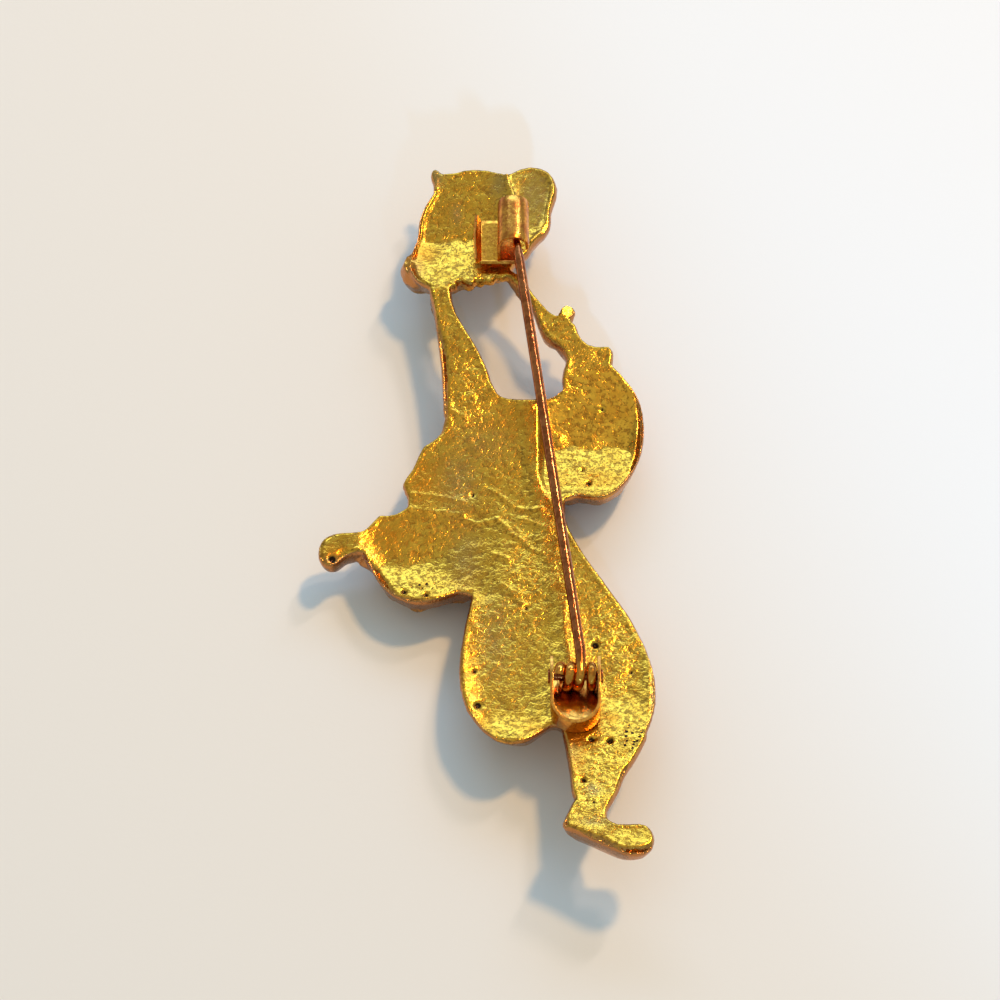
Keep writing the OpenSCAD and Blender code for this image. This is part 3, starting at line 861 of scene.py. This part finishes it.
def join(name, parts):
    """Several pieces as one mesh."""
    work = bmesh.new()
    for part in parts:
        work.from_mesh(part.data)
    mesh = bpy.data.meshes.new(name)
    work.to_mesh(mesh)
    work.free()
    mesh.materials.append(parts[0].data.materials[0])
    for part in parts:
        bpy.data.objects.remove(part)
    return link(name, mesh)


# Pin: two turns of wire round the rivet, a straight root, a small bend and the long stem
AXLE_X = 7.6
AXLE_Y = -19.4
AXLE_UP = 1.68
COIL_R = 0.85
TURN_PITCH = 0.92
COIL_TURNS = 2.06
ROOT_LEN = 1.9
PIN_LEN = 48.1
PIN_LEAN = math.radians(7.1)
PIN_SLOPE = math.radians(1.6)
POINT_LEN = 6.5
POINT_R = 0.2
# Steps of the wire along the coil, along the stem and round the spacer
COIL_STEPS = 100
STEM_STEPS = 90
SPACER_STEPS = 64
# The wire cuts the corner of the bend from the nearer distance, and is straight from the farther
BEND_NEAR = 0.25
BEND_FAR = 0.6
# How brassy the coil is, and where that ends along the root
COIL_BRASS = 0.6
BRASS_END = (AXLE_Y + 0.8, AXLE_Y + 1.8)
SPACER_R = WIRE_R - 0.03


def make_ground_wire():
    """A node tree that makes a path into round wire, ground to a point at its far end."""
    tree = bpy.data.node_groups.new("ground_wire", "GeometryNodeTree")
    sockets = tree.interface
    sockets.new_socket("Path", in_out="INPUT", socket_type="NodeSocketGeometry")
    for label, value in (("Wire Radius", 0.00045), ("Point Length", 1e-6), ("Point Radius", 1.0)):
        socket = sockets.new_socket(label, in_out="INPUT", socket_type="NodeSocketFloat")
        socket.default_value = value
    sockets.new_socket("Finish", in_out="INPUT", socket_type="NodeSocketMaterial")
    sockets.new_socket("Wire", in_out="OUTPUT", socket_type="NodeSocketGeometry")
    given = tree.nodes.new("NodeGroupInput").outputs
    length = add_node(tree, "GeometryNodeSplineLength").outputs["Length"]
    place = add_node(tree, "GeometryNodeSplineParameter").outputs["Length"]
    left = maths(tree, "SUBTRACT", length, place)
    size = add_node(tree, "ShaderNodeMapRange",
                    inputs={0: left, 1: 0.0, 2: given["Point Length"], 3: given["Point Radius"],
                            4: 1.0}).outputs[0]
    profile = add_node(tree, "GeometryNodeCurvePrimitiveCircle",
                       inputs={"Resolution": 24, "Radius": given["Wire Radius"]}).outputs["Curve"]
    swept = add_node(tree, "GeometryNodeCurveToMesh",
                     inputs={"Curve": given["Path"], "Profile Curve": profile, "Scale": size,
                             "Fill Caps": True}).outputs[0]
    smooth = add_node(tree, "GeometryNodeSetShadeSmooth", inputs={0: swept}).outputs[0]
    real = add_node(tree, "GeometryNodeRealizeInstances", inputs={0: smooth}).outputs[0]
    done = add_node(tree, "GeometryNodeSetMaterial",
                    inputs={0: real, "Material": given["Finish"]}).outputs[0]
    tree.links.new(done, tree.nodes.new("NodeGroupOutput").inputs[0])
    return tree


def wire_piece(name, path, closed, tree, values):
    """A piece of wire along a path of points about the waist."""
    curve = bpy.data.curves.new(name, "CURVE")
    curve.dimensions = "3D"
    spline = curve.splines.new("POLY")
    spline.points.add(len(path) - 1)
    for point, place in zip(spline.points, to_world(path)):
        point.co = (*place, 1)
    spline.use_cyclic_u = closed
    piece = link(name + "_path", curve)
    wire = piece.modifiers.new("ground_wire", "NODES")
    wire.node_group = tree
    for socket in tree.interface.items_tree:
        if socket.in_out == "INPUT" and socket.name in values:
            wire[socket.identifier] = values[socket.name]
    ready = piece.evaluated_get(bpy.context.evaluated_depsgraph_get())
    mesh = bpy.data.meshes.new_from_object(ready)
    bpy.data.objects.remove(piece)
    return link(name, mesh)


def make_pin(material):
    """The sprung pin with its coil about the rivet, and the spacer ring beside the coil."""
    tree = make_ground_wire()
    lean = math.atan(AXLE_Y / BOW_R)
    middle = (AXLE_X, AXLE_Y - AXLE_UP * math.sin(lean),
              bowed_height(AXLE_Y) + SEAT_GAP + AXLE_UP * math.cos(lean))
    root_x = middle[0] + TURN_PITCH / 2

    def on_coil(x, turn):
        return (x, middle[1] + COIL_R * math.sin(turn), middle[2] + COIL_R * math.cos(turn))

    path = []
    for i in range(COIL_STEPS):
        turn = -2 * math.pi * COIL_TURNS * (1 - i / COIL_STEPS)
        path.append(on_coil(root_x + TURN_PITCH * turn / (2 * math.pi), turn))
    root = np.array(on_coil(root_x, 0))
    run = np.array([0, math.cos(PIN_SLOPE), math.sin(PIN_SLOPE)])
    stem = np.array([-math.sin(PIN_LEAN) * math.cos(PIN_SLOPE),
                     math.cos(PIN_LEAN) * math.cos(PIN_SLOPE), math.sin(PIN_SLOPE)])
    bend = root + run * ROOT_LEN
    path += [root, bend - run * BEND_FAR, bend - run * BEND_NEAR, bend + stem * BEND_NEAR]
    path += [bend + stem * (BEND_FAR + (PIN_LEN - BEND_FAR) * i / STEM_STEPS)
             for i in range(STEM_STEPS + 1)]
    pin = wire_piece("sprung_pin", path, False, tree,
                     {"Wire Radius": WIRE_R * MM, "Point Length": POINT_LEN * MM,
                      "Point Radius": POINT_R, "Finish": material})
    along = read_vectors(pin.data, "co")[:, 1] / MM + WAIST[1]
    paint(pin.data, "brass", COIL_BRASS * (1 - ease(along, *BRASS_END)))
    ring_x = middle[0] + TURN_PITCH * 1.5
    ring = [on_coil(ring_x, 2 * math.pi * i / SPACER_STEPS) for i in range(SPACER_STEPS)]
    spacer = wire_piece("pin_spacer", ring, True, tree,
                        {"Wire Radius": SPACER_R * MM, "Finish": material})
    paint(spacer.data, "brass", np.full(len(spacer.data.vertices), COIL_BRASS))
    return pin, spacer


# Lights and floor

# Each row: name, azimuth, elevation, distance, width and height, radiance, colour. Azimuth 0 is
# +Y and 90 is +X, as seen from the brooch.
SOFT_LIGHTS = [
    ("window", 48, 60, 0.8, (0.075, 0.09), 130.0, (1.0, 0.64, 0.27)),
    ("bright_wall", 5, 37.5, 0.9, (1.1, 0.27), 2.0, (0.70, 1.18, 1.9)),
    ("ceiling", 5, 92, 0.9, (1.0, 0.6), 0.19, (1.0, 0.85, 0.6)),
    ("window_wall", 50, 52, 0.9, (0.45, 0.4), 0.3, (1.0, 0.9, 0.75)),
    ("window_strip", 39, 46, 0.8, (0.03, 0.1), 90.0, (1.0, 0.86, 0.78)),
]
ROOM_COLOUR = (1.00, 1.24, 1.34, 1)
ROOM_STRENGTH = 0.40
# The cool window: direction and distance, the place it is aimed at, and its beam
COOL_PLACE = (166, 28, 0.6)
COOL_AIM = (0.125, 0.174, 0)
COOL_ENERGY = 10.5
COOL_COLOUR = (0.20, 0.53, 1.0)
COOL_SIZE = 0.02
COOL_BEAM = 26
COOL_BLEND = 0.35
FLOOR_HALF = 1.5


def place_light(data, azimuth, elevation, distance, target):
    """Puts a light in the given direction, aimed at the target."""
    light = bpy.data.objects.new(data.name, data)
    a, e = math.radians(azimuth), math.radians(elevation)
    away = Vector((math.sin(a) * math.cos(e), math.cos(a) * math.cos(e), math.sin(e)))
    light.location = away * distance
    light.rotation_euler = (Vector(target) - light.location).to_track_quat("-Z", "Y").to_euler()
    bpy.context.collection.objects.link(light)


def add_soft_light(name, azimuth, elevation, distance, size, radiance, colour):
    """An evenly bright rectangle that faces the brooch."""
    data = bpy.data.lights.new(name, "AREA")
    data.shape = "RECTANGLE"
    data.size, data.size_y = size
    data.energy = radiance * math.pi * size[0] * size[1]
    data.color = colour
    place_light(data, azimuth, elevation, distance, (0, 0, 0))


def add_cool_window():
    """A small cool light low behind the viewer. Its edge falls slantwise across the brooch, so
    it reaches only the right of the floor."""
    data = bpy.data.lights.new("cool_window", "SPOT")
    data.energy = COOL_ENERGY
    data.color = COOL_COLOUR
    data.shadow_soft_size = COOL_SIZE
    data.spot_size = math.radians(COOL_BEAM)
    data.spot_blend = COOL_BLEND
    place_light(data, *COOL_PLACE, COOL_AIM)


def add_floor(material):
    mesh = bpy.data.meshes.new("paper_floor")
    corners = [(-1, -1), (1, -1), (1, 1), (-1, 1)]
    mesh.from_pydata([(x * FLOOR_HALF, y * FLOOR_HALF, 0) for x, y in corners], [], [(0, 1, 2, 3)])
    mesh.materials.append(material)
    link("paper_floor", mesh)


def set_daylight():
    """A warm window high on the right with a bright strip beside it, a cool one low behind the
    viewer, the bright wall and the ceiling that the back of the brooch mirrors, and a dim room."""
    scene = bpy.context.scene
    scene.view_settings.view_transform = "Standard"
    scene.world = bpy.data.worlds.new("room")
    scene.world.use_nodes = True
    sky = scene.world.node_tree.nodes["Background"]
    sky.inputs["Color"].default_value = ROOM_COLOUR
    sky.inputs["Strength"].default_value = ROOM_STRENGTH
    for row in SOFT_LIGHTS:
        add_soft_light(*row)
    add_cool_window()


add_camera()
skin = make_cast_skin()
scratches = make_fine_scratches()
gilt = make_gilt_cast(skin, scratches)
sheet_copper = make_copper_gold("copper_gold_sheet", scratches, SHEET_ROUGHNESS, SHEET_TONES)
cup_copper = make_copper_gold("copper_gold_cup", scratches, SHEET_ROUGHNESS, CUP_TONES)
wire_copper = make_copper_gold("copper_gold_wire", scratches, WIRE_ROUGHNESS, WIRE_TONES)

figure = sculpt_cast(gilt)
catch = make_catch(sheet_copper)
cup = bevelled_copy("hinge_cup", "rounded_cup", EDGE_ROUND, cup_copper)
rivet = bevelled_copy("hinge_rivet", "rounded_rivet", RIVET_ROUND, wire_copper)
pin, spacer = make_pin(wire_copper)

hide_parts("figure")
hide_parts("catch")
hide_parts("hinge_cup")
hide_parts("hinge_rivet")
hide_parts("pin_stem")
for piece in (figure, catch, cup, rivet):
    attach(piece, "brooch")
for piece in (pin, spacer):
    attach(piece, "pin")

add_floor(make_paper())
set_daylight()
